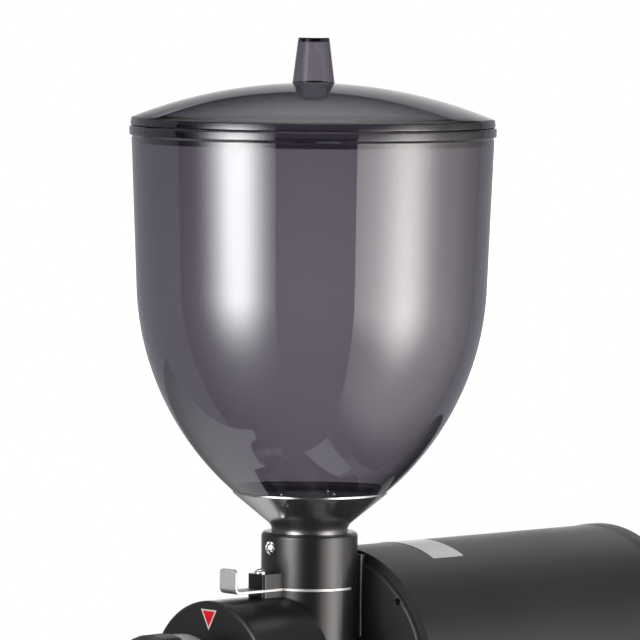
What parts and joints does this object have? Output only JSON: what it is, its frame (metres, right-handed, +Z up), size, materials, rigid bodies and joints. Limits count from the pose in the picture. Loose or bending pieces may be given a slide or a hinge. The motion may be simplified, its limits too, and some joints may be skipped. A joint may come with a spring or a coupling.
{
  "type": "electric coffee grinder",
  "caption": "Shop coffee grinder with a smoked hopper and lid over a gated neck, burr drum with a turning grind dial, round motor, column and base, rocker switch and spout with bag clamp.",
  "frame": {"origin": "on the counter, under the middle of the part's width and depth", "axes": "+Z up, -Y towards the front with the dial, +X to the right seen from the front"},
  "size_m": [0.21, 0.376, 0.658],
  "materials": {
    "smoked_plastic": "clear smoked, polished",
    "funnel_black": "polished",
    "bright_steel": "satin",
    "bright_screws": "plated",
    "cast_black": "satin powder coat",
    "motor_black": "satin powder coat",
    "dial_alloy": "turned",
    "black_plastic": "fine moulded",
    "rubber": "matt",
    "pointer_red": "gloss",
    "machined_steel": "machined",
    "iron": "machined",
    "zinc_sheet": "zinc plated",
    "copper_wire": "enamelled",
    "bronze": "turned",
    "pale_plastic": "moulded"
  },
  "bodies": {
    "frame": {"hopper_bowl": "smoked_plastic", "hopper_funnel": "funnel_black", "hopper_screw": "bright_screws", "gate_screw": "bright_screws", "grinder_housing": "cast_black", "front_cover": "cast_black", "cover_screws": "bright_screws", "setting_pointer": "pointer_red", "head_bolts": "bright_screws", "shaft_seal": "rubber", "spindle_bush": "bronze", "guide_dowels": "machined_steel", "motor_tube": "motor_black", "front_shield": "motor_black", "rear_shield": "dial_alloy", "rear_cap": "motor_black", "cap_screws": "bright_screws", "tie_rods": "machined_steel", "stator_core": "iron", "windings": "copper_wire", "front_bearing": "machined_steel", "rear_bearing": "machined_steel", "column": "cast_black", "motor_bolts": "machined_steel", "column_bolts": "machined_steel", "base": "cast_black", "bottom_plate": "zinc_sheet", "feet": "rubber", "foot_screws": "machined_steel", "switch_body": "black_plastic", "run_capacitor": "pale_plastic", "terminal_block": "pale_plastic", "cord_gland": "black_plastic", "spout": "cast_black", "spout_screws": "bright_screws", "clamp_pin": "bright_screws"},
    "lid": {"hopper_lid": "smoked_plastic"},
    "gate": {"gate_plate": "bright_steel"},
    "dial": {"adjust_knob": "black_plastic", "dial_ring": "dial_alloy", "knob_screw": "bright_screws", "adjust_spindle": "machined_steel"},
    "burr_slide": {"burr_carrier": "iron", "fixed_burr": "machined_steel", "fixed_burr_screws": "machined_steel"},
    "rotor": {"motor_shaft": "machined_steel", "rotor_core": "iron", "cooling_fan": "pale_plastic", "feed_auger": "machined_steel", "burr_hub": "iron", "rotating_burr": "machined_steel", "rotating_burr_screws": "machined_steel", "shaft_nut": "machined_steel"},
    "rocker": {"switch_rocker": "black_plastic"},
    "clamp": {"clamp_lever": "bright_steel", "clamp_pad": "rubber"}
  },
  "joints": [
    {"name": "lid_lift", "type": "slide", "parent": "frame", "child": "lid", "axis": [0, 0, 1], "range_m": [0, 0.14]},
    {"name": "gate_swing", "type": "hinge", "parent": "frame", "child": "gate", "pos_m": [0, -0.1005, 0.3434], "axis": [0, 0, 1], "range_deg": [0, 78]},
    {"name": "dial_turn", "type": "hinge", "parent": "frame", "child": "dial", "pos_m": [0, -0.15, 0.29], "axis": [0, 1, 0], "range_deg": [-150, 150]},
    {"name": "burr_feed", "type": "slide", "parent": "frame", "child": "burr_slide", "axis": [0, 1, 0], "range_m": [-0.00085, 0.00085]},
    {"name": "rotor_spin", "type": "hinge", "parent": "frame", "child": "rotor", "pos_m": [0, 0, 0.29], "axis": [0, 1, 0], "continuous": true},
    {"name": "switch_rock", "type": "hinge", "parent": "frame", "child": "rocker", "pos_m": [0.0465, 0.053, 0.14], "axis": [0, -1, 0], "range_deg": [0, 12]},
    {"name": "clamp_open", "type": "hinge", "parent": "frame", "child": "clamp", "pos_m": [0, -0.1392, 0.19], "axis": [-1, 0, 0], "range_deg": [0, 30], "stiffness_Nm_per_rad": 0.15, "springref_deg": -20.05}
  ],
  "couplings": [
    {"joint": "burr_feed", "follows": "dial_turn", "m_per_rad": 0.00031831}
  ]
}
